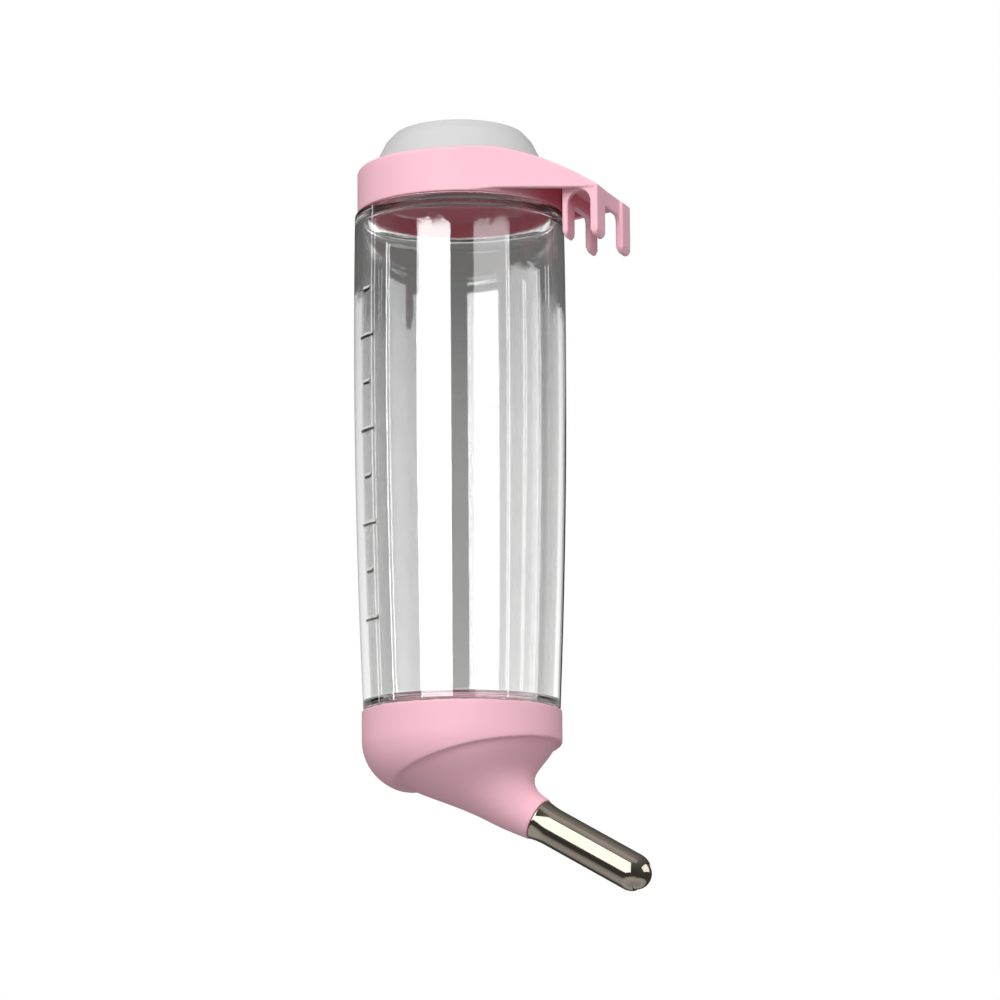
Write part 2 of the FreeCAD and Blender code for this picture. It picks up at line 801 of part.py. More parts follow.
def spring_stop():
    body = turned("spring_stop", [
        (d.stop_bore, d.stop_back),
        (d.tube_radius - d.tube_wall, d.stop_back),
        (d.tube_radius - d.tube_wall, d.stop_front),
        (d.stop_bore, d.stop_front),
    ])
    place_on_nozzle(body)
    return body


def ball_spring():
    """A coil of wire from the stop to the back of the ball, swept along quarter-turn arcs."""
    spring = doc.addObject("Part::Feature", "ball_spring")
    spring.Label = "ball_spring"
    wire = d.spring_wire.value
    start = d.stop_front.value + wire
    touch = sqrt(d.ball_radius.value ** 2 - d.spring_radius.value ** 2)
    end = ball_centre().value - touch - 2 * wire
    quarters = round(4 * d.spring_turns.value)

    def coil_point(quarter):
        turn = radians(90.0 * quarter)
        along = start + (end - start) * quarter / quarters
        return vector(d.spring_radius.value * cos(turn), d.spring_radius.value * sin(turn), along)

    arcs = []
    for quarter in range(quarters):
        points = [coil_point(quarter), coil_point(quarter + 0.5), coil_point(quarter + 1)]
        arcs.append(Part.Arc(*points).toShape())
    first = arcs[0]
    heading = first.tangentAt(first.FirstParameter)
    section = Part.Wire(Part.makeCircle(wire, coil_point(0), heading))
    spring.Shape = Part.Wire(arcs).makePipeShell([section], True, False)
    spring.Placement = nozzle_placement(0.0)
    return spring


# ---------------------------------------------------------------- build, check and write

seal_low = d.neck_top + d.seal_gap
gasket_low = d.cup_ledge + d.seal_gap
subparts = [
    hanger_collar(),
    bottle_body(),
    filler_cap(),
    washer("cap_seal", d.seal_hole, d.seal_radius, seal_low, seal_low + d.seal_thick),
    base_cup(),
    washer("cup_gasket", d.gasket_bore, d.cup_bore - 0.1, gasket_low, gasket_low + d.gasket_thick),
    nozzle_tube(),
    nozzle_sleeve(),
    tip_ball(),
    spring_stop(),
    ball_spring(),
]
doc.recompute()

for item in doc.Objects:
    if "Invalid" in item.State or "Error" in item.State:
        raise RuntimeError(f"{item.Name} did not rebuild: {item.State}")

os.makedirs("parts", exist_ok=True)
for subpart in subparts:
    shape = subpart.Shape
    if shape.isNull() or not shape.isValid() or len(shape.Solids) != 1:
        raise RuntimeError(f"{subpart.Label} is not one sound solid: {len(shape.Solids)} solids")
    shape.exportStep(f"parts/{subpart.Label}.step")
    print(f"{subpart.Label}: {shape.Volume / 1000:.2f} cm3")
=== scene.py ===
import json
from math import atan2, cos, pi, radians, sin, sqrt, tan

import bpy
from mathutils import Matrix, Vector

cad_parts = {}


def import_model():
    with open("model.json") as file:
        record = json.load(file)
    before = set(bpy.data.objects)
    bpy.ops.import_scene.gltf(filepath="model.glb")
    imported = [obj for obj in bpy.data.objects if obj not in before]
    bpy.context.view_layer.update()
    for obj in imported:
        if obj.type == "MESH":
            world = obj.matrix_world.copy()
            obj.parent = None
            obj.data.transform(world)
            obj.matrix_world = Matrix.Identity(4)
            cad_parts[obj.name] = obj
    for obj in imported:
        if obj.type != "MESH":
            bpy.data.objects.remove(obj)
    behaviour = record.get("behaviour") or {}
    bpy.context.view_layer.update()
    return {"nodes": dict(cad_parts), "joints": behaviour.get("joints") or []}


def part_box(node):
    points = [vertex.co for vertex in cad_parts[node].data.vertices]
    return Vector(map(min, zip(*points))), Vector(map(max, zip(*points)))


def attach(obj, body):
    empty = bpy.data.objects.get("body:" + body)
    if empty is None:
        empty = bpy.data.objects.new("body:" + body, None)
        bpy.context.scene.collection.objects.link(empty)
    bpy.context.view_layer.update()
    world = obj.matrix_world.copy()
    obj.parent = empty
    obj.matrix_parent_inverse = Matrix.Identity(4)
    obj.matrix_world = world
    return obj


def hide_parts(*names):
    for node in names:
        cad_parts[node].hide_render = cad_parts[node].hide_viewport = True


# The rabbit water bottle's looks. Everything is in the CAD frame: the origin is the cage wire in the
# hook's seat, +Z is up and +X points into the cage. Profiles are written in millimetres.

MM = 0.001

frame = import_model()
nodes = frame["nodes"]
joints = {joint["name"]: joint for joint in frame["joints"]}
AXIS_X = joints["bottle_swivel"]["pos_m"][0]    # the bottle's upright axis is at this X, and Y = 0

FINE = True
ROUND = 288 if FINE else 144                    # steps round a turned piece
ON_AXIS = 1e-4                                  # a point nearer to the axis than this lies on it


# ---------------------------------------------------------------- mesh tools

LARGE_FACE_WEIGHT = 80
COARSER = 1.6
SOFTENING = 5               # how often a moulding's skin is smoothed


def link(name, mesh):
    piece = bpy.data.objects.new(name, mesh)
    bpy.context.scene.collection.objects.link(piece)
    return piece


def shade_smooth(mesh):
    mesh.polygons.foreach_set("use_smooth", [True] * len(mesh.polygons))


def weigh_normals(piece):
    """Keep flat stretches flat beside small rounded edges."""
    modifier = piece.modifiers.new("even_normals", "WEIGHTED_NORMAL")
    modifier.weight = LARGE_FACE_WEIGHT
    modifier.keep_sharp = False


def rounded(corners, steps=5):
    """A closed outline through (across, up, edge radius) corners, with each edge rounded."""
    outline = []
    for index, (across, up, radius) in enumerate(corners):
        here = Vector((across, up))
        if radius == 0:
            outline.append(here)
            continue
        before = Vector(corners[index - 1][:2]) - here
        after = Vector(corners[(index + 1) % len(corners)][:2]) - here
        half = before.angle(after) / 2
        longest = 0.49 * min(before.length, after.length)
        reach = min(radius / tan(half), longest)
        radius = reach * tan(half)
        middle = here + (before.normalized() + after.normalized()).normalized() * (radius / sin(half))
        first = here + before.normalized() * reach - middle
        last = here + after.normalized() * reach - middle
        sweep = atan2(first.x * last.y - first.y * last.x, first.dot(last))
        for step in range(steps + 1):
            turn = sweep * step / steps
            outline.append(middle + Matrix.Rotation(turn, 2) @ first)
    return outline


def arc(start, end, radius, steps):
    """Points on an arc after start and up to end, bulging right of the way from start to end."""
    a = Vector(start)
    b = Vector(end)
    chord = b - a
    right = Vector((chord.y, -chord.x)).normalized()
    centre = (a + b) / 2 - right * sqrt(radius * radius - chord.length_squared / 4)
    first = a - centre
    last = b - centre
    sweep = atan2(first.x * last.y - first.y * last.x, first.dot(last))
    return [centre + Matrix.Rotation(sweep * step / steps, 2) @ first for step in range(1, steps + 1)]


def sharp(points):
    """Corners for rounded() that stay as they are."""
    return [(point.x, point.y, 0) for point in points]


def divided(outline, longest):
    """The same closed outline with its long edges divided. longest(middle) is the longest an edge may be
    around that point."""
    points = []
    for index, point in enumerate(outline):
        last = outline[index - 1]
        parts = max(1, round((point - last).length / longest((last + point) / 2)))
        points += [last.lerp(point, part / parts) for part in range(1, parts + 1)]
    return points


def turned(name, outline, raised=None, angles=None):
    """A solid of revolution about Z from a closed outline in millimetres. raised(angle, radius, height)
    moves a point of the skin outwards by that many millimetres."""
    turns = angles or [2 * pi * step / ROUND for step in range(ROUND)]
    vertices = []
    rows = []
    for point in outline:
        row = []
        if point.x < ON_AXIS:
            vertices.append((0, 0, point.y * MM))
            row = [len(vertices) - 1] * len(turns)
        else:
            for turn in turns:
                reach = point.x + (raised(turn, point.x, point.y) if raised else 0)
                vertices.append((reach * cos(turn) * MM, reach * sin(turn) * MM, point.y * MM))
                row.append(len(vertices) - 1)
        rows.append(row)
    faces = []
    for low, high in zip(rows, rows[1:] + rows[:1]):
        for here in range(len(turns)):
            there = (here + 1) % len(turns)
            face = list(dict.fromkeys([low[here], low[there], high[there], high[here]]))
            if len(face) > 2:
                faces.append(face)
    mesh = bpy.data.meshes.new(name)
    mesh.from_pydata(vertices, [], faces)
    mesh.validate()
    shade_smooth(mesh)
    return link(name, mesh)


def moulded(name, node, voxel):
    """A CAD node's own shape with every edge softened the way moulded plastic is."""
    piece = link(name, nodes[node].data.copy())
    piece.data.materials.clear()
    remesh = piece.modifiers.new("skin", "REMESH")
    remesh.mode = "VOXEL"
    remesh.voxel_size = voxel * MM * (1 if FINE else COARSER)
    remesh.use_smooth_shade = True
    smooth = piece.modifiers.new("soft_edges", "SMOOTH")
    smooth.factor = 0.5
    smooth.iterations = SOFTENING
    graph = bpy.context.evaluated_depsgraph_get()
    mesh = bpy.data.meshes.new_from_object(piece.evaluated_get(graph))
    piece.modifiers.clear()
    piece.data = mesh
    shade_smooth(mesh)
    return piece


def finished(piece, body, material, node):
    """The piece in its material, on its body and in place of its CAD node."""
    piece.data.materials.clear()
    piece.data.materials.append(material)
    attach(piece, body)
    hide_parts(node)
    return piece


# ---------------------------------------------------------------- materials

class Nodes:
    """A short way to write a material's node tree."""

    def __init__(self, name):
        self.material = bpy.data.materials.new(name)
        self.material.use_nodes = True
        self.tree = self.material.node_tree
        self.shader = self.tree.nodes["Principled BSDF"]
        self.place = self.add("ShaderNodeTexCoord").outputs["Object"]

    def add(self, kind, **values):
        node = self.tree.nodes.new(kind)
        for name, value in values.items():
            if hasattr(node, name):
                setattr(node, name, value)
            else:
                node.inputs[name.replace("_", " ")].default_value = value
        return node

    def join(self, output, entry):
        self.tree.links.new(output, entry)

    def set(self, **values):
        for name, value in values.items():
            self.shader.inputs[name.replace("_", " ")].default_value = value

    def noise(self, scale, detail=3.0, stretch=(1, 1, 1)):
        """Noise in object space, with its scale in features per metre."""
        mapping = self.add("ShaderNodeMapping")
        mapping.inputs["Scale"].default_value = stretch
        self.join(self.place, mapping.inputs["Vector"])
        texture = self.add("ShaderNodeTexNoise", Scale=scale, Detail=detail)
        self.join(mapping.outputs["Vector"], texture.inputs["Vector"])
        return texture.outputs["Fac"]

    def between(self, factor, low, high):
        """A value from low to high as the factor goes from 0.3 to 0.7, the usual span of noise."""
        span = self.add("ShaderNodeMapRange")
        for name, value in (("From Min", 0.3), ("From Max", 0.7), ("To Min", low), ("To Max", high)):
            span.inputs[name].default_value = value
        self.join(factor, span.inputs["Value"])
        return span.outputs["Result"]

    def mix(self, factor, first, second):
        """From the first colour to the second, each given in numbers or as another node's output."""
        blend = self.add("ShaderNodeMix", data_type="RGBA")
        for entry, colour in ((blend.inputs[6], first), (blend.inputs[7], second)):
            if isinstance(colour, tuple):
                entry.default_value = (*colour, 1)
            else:
                self.join(colour, entry)
        self.join(factor, blend.inputs[0])
        return blend.outputs[2]

    def reckon(self, operation, first, second):
        """A sum or comparison of an output with a number or another output."""
        node = self.add("ShaderNodeMath", operation=operation)
        self.join(first, node.inputs[0])
        if isinstance(second, float):
            node.inputs[1].default_value = second
        else:
            self.join(second, node.inputs[1])
        return node.outputs[0]

    def let_light_through(self, tint):
        """Light from the lamps reaches what stands behind this material."""
        path = self.add("ShaderNodeLightPath").outputs
        open_way = self.add("ShaderNodeBsdfTransparent")
        open_way.inputs["Color"].default_value = (*tint, 1)
        choice = self.add("ShaderNodeMixShader")
        self.join(self.reckon("MAXIMUM", path["Is Shadow Ray"], path["Is Diffuse Ray"]), choice.inputs[0])
        self.join(self.shader.outputs[0], choice.inputs[1])
        self.join(open_way.outputs[0], choice.inputs[2])
        self.join(choice.outputs[0], self.tree.nodes["Material Output"].inputs["Surface"])

    def bump(self, *layers):
        """Bumps from (height output, depth in millimetres), one on another."""
        normal = None
        for height, depth in layers:
            bump = self.add("ShaderNodeBump", Strength=1.0, Distance=depth * MM)
            self.join(height, bump.inputs["Height"])
            if normal:
                self.join(normal, bump.inputs["Normal"])
            normal = bump.outputs["Normal"]
        self.join(normal, self.shader.inputs["Normal"])


def shaded_seat(made, skin, radius, height, shade):
    """The skin with another colour inside this radius of the bottle's axis, above this height."""
    flat = made.add("ShaderNodeVectorMath", operation="MULTIPLY")
    made.join(made.place, flat.inputs[0])
    flat.inputs[1].default_value = (1, 1, 0)
    across = made.add("ShaderNodeVectorMath", operation="DISTANCE")
    made.join(flat.outputs[0], across.inputs[0])
    across.inputs[1].default_value = (AXIS_X, 0, 0)
    split = made.add("ShaderNodeSeparateXYZ")
    made.join(made.place, split.inputs[0])
    within = made.reckon("LESS_THAN", across.outputs["Value"], radius * MM)
    above = made.reckon("GREATER_THAN", split.outputs["Z"], height * MM)
    return made.mix(made.reckon("MULTIPLY", within, above), skin, shade)


# Painted shade in the mouldings' recesses, found by ambient occlusion.
PAINTED_SHADE_REACH = 0.016        # metres: a surface with others this near gets painted recess shade
PAINTED_SHADE_FULL = 0.1           # how open a surface is where it has the full painted shade
PAINTED_SHADE_NONE = 0.6


def moulded_plastic(name, colour, deeper, roughness, recess_shade, seat=None):
    """Satin plastic with slow colour drift, a fine mould grain and faint scuffs. Its recesses get painted
    shade: a darker, fuller colour wherever other surfaces are near. seat is what shaded_seat() needs."""
    made = Nodes(name)
    drift = made.noise(scale=45, detail=2)
    skin = made.mix(made.between(drift, 0.0, 1.0), colour, deeper)
    # Painted shade: the less open a surface is, the more the recess colour takes over from the skin.
    openness = made.add("ShaderNodeAmbientOcclusion", samples=8, Distance=PAINTED_SHADE_REACH)
    reach = made.add("ShaderNodeMapRange")
    reach.inputs["From Min"].default_value = PAINTED_SHADE_FULL
    reach.inputs["From Max"].default_value = PAINTED_SHADE_NONE
    made.join(openness.outputs["AO"], reach.inputs["Value"])
    skin = made.mix(reach.outputs["Result"], recess_shade, skin)
    if seat:
        skin = shaded_seat(made, skin, *seat)
    made.join(skin, made.shader.inputs["Base Color"])
    grain = made.noise(scale=2600, detail=2)
    scuffs = made.noise(scale=220, detail=4, stretch=(1, 1, 0.15))
    made.join(made.between(scuffs, roughness - 0.05, roughness + 0.07), made.shader.inputs["Roughness"])
    made.bump((grain, 0.012), (drift, 0.12))
    made.set(IOR=1.46)
    return made.material


def clear_plastic(name):
    """Blown clear plastic: even and glossy, with slow waves that run along the bottle."""
    made = Nodes(name)
    made.set(Base_Color=(0.975, 0.98, 0.98, 1), IOR=1.47, Transmission_Weight=1.0)
    haze = made.noise(scale=60, detail=3, stretch=(1, 1, 0.3))
    made.join(made.between(haze, 0.0, 0.035), made.shader.inputs["Roughness"])
    waves = made.noise(scale=28, detail=1, stretch=(1, 1, 0.12))
    pits = made.noise(scale=500, detail=2)
    made.bump((waves, 0.35), (pits, 0.004))
    made.let_light_through((0.9, 0.905, 0.905))
    return made.material


def polished_steel(name):
    """Polished stainless steel, a little warm, with faint smears."""
    made = Nodes(name)
    tone = made.noise(scale=90, detail=3)
    made.join(made.mix(made.between(tone, 0, 1), (0.61, 0.545, 0.465), (0.66, 0.595, 0.515)),
              made.shader.inputs["Base Color"])
    smears = made.noise(scale=260, detail=4)
    made.join(made.between(smears, 0.05, 0.13), made.shader.inputs["Roughness"])
    made.bump((made.noise(scale=1500, detail=2), 0.001))
    made.set(Metallic=1.0)
    return made.material


def spring_steel(name):
    """Drawn wire, duller than the tube."""
    made = Nodes(name)
    tone = made.noise(scale=900, detail=2)
    made.join(made.mix(tone, (0.42, 0.42, 0.42), (0.56, 0.55, 0.54)), made.shader.inputs["Base Color"])
    smears = made.noise(scale=700, detail=2)
    made.join(made.between(smears, 0.25, 0.4), made.shader.inputs["Roughness"])
    made.set(Metallic=1.0)
    return made.material


def silicone(name):
    """Soft, milky white seal rubber."""
    made = Nodes(name)
    tone = made.noise(scale=120, detail=2)
    made.join(made.mix(tone, (0.8, 0.79, 0.76), (0.88, 0.87, 0.85)), made.shader.inputs["Base Color"])
    smears = made.noise(scale=300, detail=3)
    made.join(made.between(smears, 0.45, 0.6), made.shader.inputs["Roughness"])
    made.bump((made.noise(scale=1200, detail=2), 0.01))
    made.set(Subsurface_Weight=0.15, Subsurface_Scale=0.002)
    return made.material


PINK_SKIN = (0.865, 0.49, 0.58)
PINK_DEEPER = (0.85, 0.47, 0.56)
PINK_ROUGHNESS = 0.52
CUP_SEAT = (31.3, -160.0, (0.2, 0.09, 0.11))    # the bottle stands in the cup here, in its own shade

# The last colour given to each moulding is the painted shade in its recesses.
PINK = moulded_plastic("pink_moulding", PINK_SKIN, PINK_DEEPER, PINK_ROUGHNESS, (0.72, 0.15, 0.21))
PINK_CUP = moulded_plastic("pink_cup_moulding", PINK_SKIN, PINK_DEEPER, PINK_ROUGHNESS,
                           (0.36, 0.13, 0.16), CUP_SEAT)
GREY = moulded_plastic("grey_moulding", (0.555, 0.56, 0.56), (0.535, 0.54, 0.54), 0.5,
                       (0.5, 0.505, 0.505))
STOP = moulded_plastic("stop_moulding", (0.62, 0.62, 0.62), (0.58, 0.58, 0.58), 0.45,
                       (0.55, 0.55, 0.55))
CLEAR = clear_plastic("clear_wall")
STEEL = polished_steel("polished_tube")
WIRE = spring_steel("spring_wire")
RUBBER = silicone("seal_silicone")


# ---------------------------------------------------------------- the clear bottle

LEDGE_TOP = 3.1             # the collar's skirt stands on this ledge
LEDGE_RADIUS = 33.5
BASE_Z = -156.5             # the barrel's lower end, above the neck that the cup screws on
BASE_RADIUS = 31.0
BASE_END = -163.1
BASE_NECK_RADIUS = 27.3
BASE_BORE = 25.0
BARREL = 2480.0             # the radius of the barrel's slight bulge
BARREL_STEPS = 24
WALL = 2.2
SWIVEL_RADIUS = 30.9        # the collar turns on this step
SWIVEL_TOP = (SWIVEL_RADIUS, 9.4)
SWIVEL_INSIDE = (SWIVEL_RADIUS - WALL, 8.0)
SHOULDER_DROP = 5.0         # below the ledge the wall's inside swells out over this height
NECK_RADIUS = 20.4
NECK_BORE = 18.4
NECK_TOP = 26.1
NECK_FOOT = (NECK_RADIUS, 14.6)
NECK_INSIDE = (NECK_BORE, 13.2)
DOME = 17.0                 # the curve from the swivel step to the neck, and the same inside
DOME_INSIDE = 14.8
THREAD_PITCH = 2.5
THREAD_DEPTH = 1.2
THREAD_TURNS = 1.25
THREAD_STEP = 0.2           # edges of the outline are no longer than this on a thread
FILLER_THREAD_Z = 20.4
FILLER_THREAD_FOOT = 16.0   # the neck is plain below this
CUP_THREAD_Z = -161.5
MARK_FIRST = -129.8
MARK_STEP = 15.0            # 50 ml
MARKS = 8
MARK_HEIGHT = 0.9
MARK_RISE = 0.35
MARK_ANGLE = radians(230)   # the scale's own side of the bottle
MARK_LONG = radians(7.0)    # half the angle that a mark takes up, at every 100 ml and between
MARK_SHORT = radians(3.5)
MARK_EDGE = 0.25            # edges of the outline are no longer than this on the marks
MARKS_LOW = -135
MARKS_HIGH = -15
MARK_SIDE = radians(9)      # the skin has finer steps this far round from the marks' middle
MARK_SIDE_STEPS = 30
MARK_WALL = 31.2            # the wall's outside is beyond this radius wherever it has marks
INSIDE_WALL = 31.9          # above INSIDE_Z the wall's inside is within this radius
INSIDE_Z = -120
PLAIN_EDGE = 6.0            # and no longer than this anywhere


def ridge(distance, width, soft):
    """1 on a ridge of this width and 0 beside it, with soft edges."""
    edge = (width / 2 - abs(distance)) / soft + 0.5
    edge = min(1.0, max(0.0, edge))
    return edge * edge * (3 - 2 * edge)


def thread_rise(turn, height, start, turns):
    """How far a thread stands out of its wall at this angle and height."""
    most = 0.0
    for lap in range(-1, 3):
        along = turn / (2 * pi) + lap
        if -0.02 < along < turns + 0.02:
            ends = min(1.0, max(0.0, min(along, turns - along) * 12 + 0.2))
            most = max(most, ends * ridge(height - start - along * THREAD_PITCH, width=1.2, soft=0.6))
    return most * THREAD_DEPTH


def on_cup_thread(radius, height):
    return height < BASE_Z - 0.5 and radius > BASE_BORE + 1


def on_filler_thread(radius, height):
    return height > FILLER_THREAD_FOOT and radius > NECK_BORE + 1.1


def bottle_skin(turn, radius, height):
    """How far the threads and the raised marks stand out of the bottle."""
    if on_cup_thread(radius, height):
        return thread_rise(turn, height, CUP_THREAD_Z, THREAD_TURNS)
    if on_filler_thread(radius, height):
        return thread_rise(turn, height, FILLER_THREAD_Z, THREAD_TURNS)
    step = round((height - MARK_FIRST) / MARK_STEP)
    if height > 0 or radius < MARK_WALL or not 0 <= step < MARKS:
        return 0.0
    half = MARK_LONG if step % 2 == 0 else MARK_SHORT
    away = (turn - MARK_ANGLE) * radius
    if radius < INSIDE_WALL and height > INSIDE_Z or abs(away) > half * radius + 1:
        return 0.0
    line = ridge(height - (MARK_FIRST + step * MARK_STEP + MARK_HEIGHT / 2), MARK_HEIGHT, soft=0.35)
    return MARK_RISE * line * ridge(away, 2 * half * radius, soft=0.5)


def bottle_edge(middle):
    """The longest an edge of the bottle's outline may be."""
    if on_cup_thread(*middle) or on_filler_thread(*middle):
        return THREAD_STEP
    inside = middle.x < INSIDE_WALL and middle.y > INSIDE_Z
    marked = middle.x > MARK_WALL and MARKS_LOW < middle.y < MARKS_HIGH and not inside
    return MARK_EDGE if marked and FINE else PLAIN_EDGE


def bottle():
    barrel_low = (BASE_RADIUS, BASE_Z + 1)
    barrel_top = (LEDGE_RADIUS, LEDGE_TOP - 0.9)
    inner_low = Vector((BASE_RADIUS - WALL, BASE_Z + 2.8))
    inner_top = Vector((LEDGE_RADIUS - WALL, LEDGE_TOP - SHOULDER_DROP))
    corners = [
        (BASE_BORE, BASE_END, 0.3),
        (BASE_NECK_RADIUS, BASE_END, 0.3),
        (BASE_NECK_RADIUS, BASE_Z, 0.2),
        (BASE_RADIUS, BASE_Z, 0.5),
    ]
    corners += sharp(arc(barrel_low, barrel_top, BARREL, BARREL_STEPS)[:-1])
    corners += [
        (LEDGE_RADIUS, LEDGE_TOP, 0.9),
        (SWIVEL_RADIUS, LEDGE_TOP, 0.25),
        (*SWIVEL_TOP, 0),
    ]
    corners += sharp(arc(SWIVEL_TOP, NECK_FOOT, DOME, 10)[:-1])
    corners += [
        (*NECK_FOOT, 0.8),
        (NECK_RADIUS, NECK_TOP, 0.5),
        (NECK_BORE, NECK_TOP, 0.5),
        (*NECK_INSIDE, 0.9),
    ]
    corners += sharp(reversed(arc(SWIVEL_INSIDE, NECK_INSIDE, DOME_INSIDE, 10)[:-1]))
    corners += [(*SWIVEL_INSIDE, 0)]
    # Inside the ledge the wall swells out along an S of two arcs.
    shoulder_top = Vector((SWIVEL_RADIUS - WALL, LEDGE_TOP))
    step = inner_top.x - shoulder_top.x
    curve = (SHOULDER_DROP ** 2 + step ** 2) / (4 * step)
    middle = (shoulder_top + inner_top) / 2
    corners += sharp([shoulder_top] + arc(shoulder_top, middle, curve, 10))
    corners += sharp(reversed(arc(inner_top, middle, curve, 10)[:-1]))
    corners += sharp([inner_top])
    corners += sharp(reversed(arc(inner_low, inner_top, BARREL, BARREL_STEPS)[:-1]))
    corners += [
        (*inner_low, 2.0),
        (inner_low.x - 0.9, BASE_Z + 1.4, 0.8),
        (BASE_BORE, BASE_Z + 1.2, 0.3),
    ]
    coarse = [2 * pi * step / ROUND for step in range(ROUND)]
    away = [turn for turn in coarse if abs(turn - MARK_ANGLE) > MARK_SIDE]
    close = [MARK_ANGLE + MARK_SIDE * step / MARK_SIDE_STEPS
             for step in range(-MARK_SIDE_STEPS, MARK_SIDE_STEPS + 1)]
    outline = divided(rounded(corners), bottle_edge)
    piece = turned("clear_bottle", outline, bottle_skin, sorted(away + close))
    piece.location.x = AXIS_X
    weigh_normals(piece)
    return finished(piece, "bottle", CLEAR, "bottle_body")


# ---------------------------------------------------------------- the filler cap

CAP_BOTTOM = 18.2
CAP_TOP = 30.5
CAP_CEILING = 27.8
CAP_SKIRT = 27.2            # the skirt narrows from this to the shoulder
CAP_SHOULDER = (25.2, 23.3)
CAP_BORE = 22.6
CAP_BORE_TOP = 24.1
SEAL_RADIUS = 21.1          # the recess for the seal
THREAD_WALL_STEPS = 24      # each edge of the threaded wall is divided into as many


def inner_thread(turn, radius, height):
    """How far the cap's wall stands out, which is inwards at its thread."""
    if abs(radius - CAP_BORE) < 0.5 and CAP_BOTTOM + 0.3 < height < CAP_BORE_TOP - 0.1:
        return -thread_rise(turn, height, FILLER_THREAD_Z - THREAD_PITCH / 2, 1.0)
    return 0.0


def cap():
    corners = [(CAP_BORE, CAP_BOTTOM, 0.4), (CAP_SKIRT + 0.2, CAP_BOTTOM, 0.5)]
    corners += sharp(arc((CAP_SKIRT, CAP_BOTTOM + 0.6), CAP_SHOULDER, 20.0, 8))
    corners += [
        (23.6, 26.5, 4.0),
        (20.6, 29.8, 3.0),
        (16.0, CAP_TOP, 8.0),
        (0.0, CAP_TOP + 0.02, 0),
        (0.0, CAP_CEILING, 0),
        (SEAL_RADIUS, CAP_CEILING, 0.6),
        (SEAL_RADIUS, 25.1, 0.3),
        (CAP_BORE, CAP_BORE_TOP, 0.3),
    ]
    outline = divided(rounded(corners, steps=8), lambda middle: 3.0)
    fine = []
    for index, point in enumerate(outline):
        last = outline[index - 1]
        threaded = abs(point.x - CAP_BORE) < 0.1 and abs(last.x - CAP_BORE) < 0.1
        parts = THREAD_WALL_STEPS if threaded else 1
        fine += [last.lerp(point, part / parts) for part in range(1, parts + 1)]
    piece = turned("domed_cap", fine, inner_thread)
    piece.location.x = AXIS_X
    weigh_normals(piece)
    return finished(piece, "cap", GREY, "filler_cap")


# ---------------------------------------------------------------- the pink mouldings

CLAW_TIP = -11.3
CLAW_ROUNDING = 2.4         # the claws' tips are rounded along the wire over this height
CLAW_NARROWING = 0.4        # and end up narrower by this share
CLAW_SPAN = 8               # no claw is further from the wire than this
INNER_CLAWS = (-3.5, 0.6, 11.15)    # the bottle's side of this X, this much shorter, their middle's Y
OUTER_CLAWS = (3.5, 0.0, 12.5)


def round_claw_tips(mesh):
    """Each claw narrows to its tip, towards its own middle."""
    for vertex in mesh.vertices:
        x, y, z = vertex.co / MM
        for edge, lift, middle in (INNER_CLAWS, OUTER_CLAWS):
            beside = x < edge if edge < 0 else x > edge
            depth = (CLAW_TIP + lift + CLAW_ROUNDING - z) / CLAW_ROUNDING
            if beside and abs(x) < CLAW_SPAN and depth > 0:
                middle = middle if y > 0 else -middle
                narrowed = 1 - CLAW_NARROWING * min(depth, 1.0) ** 3
                vertex.co.y = (middle + (y - middle) * narrowed) * MM


def collar():
    piece = moulded("collar_moulding", "hanger_collar", voxel=0.3)
    round_claw_tips(piece.data)
    return finished(piece, "hanger", PINK, "hanger_collar")


def cup():
    piece = moulded("cup_moulding", "base_cup", voxel=0.4)
    return finished(piece, "cup", PINK_CUP, "base_cup")


# ---------------------------------------------------------------- the nozzle

OUTWARDS = -Vector(joints["ball_push"]["axis"]).normalized()
SPOUT = Vector((AXIS_X + 25.3 * MM, 0, -191.95 * MM))
TUBE_RADIUS = 5.95
TUBE_WALL = 0.5
TUBE_START = -11.9
FOOT_RADIUS = 6.5           # the tube flares to its foot on the spout's face
FOOT_Z = 0.05
FLARE_START = 0.4
FLARE_END = 5.4
FLARE = 23.0
LIP_START = 34.95
LIP_END = 38.32
LIP_RADIUS = 4.9
LIP_INSIDE = (4.6, 38.0)    # the ball rests against this edge
HALF_ROUND = 64             # steps from pole to pole of the ball


def on_nozzle(piece):
    """The piece's own Z axis becomes the nozzle's, from the face of the spout outwards."""
    turn = Vector((0, 0, 1)).rotation_difference(OUTWARDS).to_matrix().to_4x4()
    piece.matrix_world = Matrix.Translation(SPOUT) @ turn


def tube():
    inside = TUBE_RADIUS - TUBE_WALL
    corners = [
        (inside, TUBE_START, 0.1),
        (TUBE_RADIUS, TUBE_START, 0.1),
        (TUBE_RADIUS, FOOT_Z, 0),
        (FOOT_RADIUS, FOOT_Z, 0.15),
        (FOOT_RADIUS, FLARE_START, 0),
    ]
    corners += sharp(reversed(arc((TUBE_RADIUS, FLARE_END), (FOOT_RADIUS, FLARE_START), FLARE, 14)[:-1]))
    corners += [
        (TUBE_RADIUS, FLARE_END, 0),
        (TUBE_RADIUS, LIP_START, 0),
    ]
    corners += sharp(arc((TUBE_RADIUS, LIP_START), (LIP_RADIUS, LIP_END), TUBE_RADIUS, 16)[:-1])
    corners += [(LIP_RADIUS, LIP_END, 0.12), (*LIP_INSIDE, 0.08)]
    corners += sharp(reversed(arc((inside, LIP_START), LIP_INSIDE, inside, 10)[:-1]))
    corners += [(inside, LIP_START, 0)]
    piece = turned("drinking_tube", divided(rounded(corners, steps=6), lambda middle: 1.0))
    on_nozzle(piece)
    return finished(piece, "cup", STEEL, "nozzle_tube")


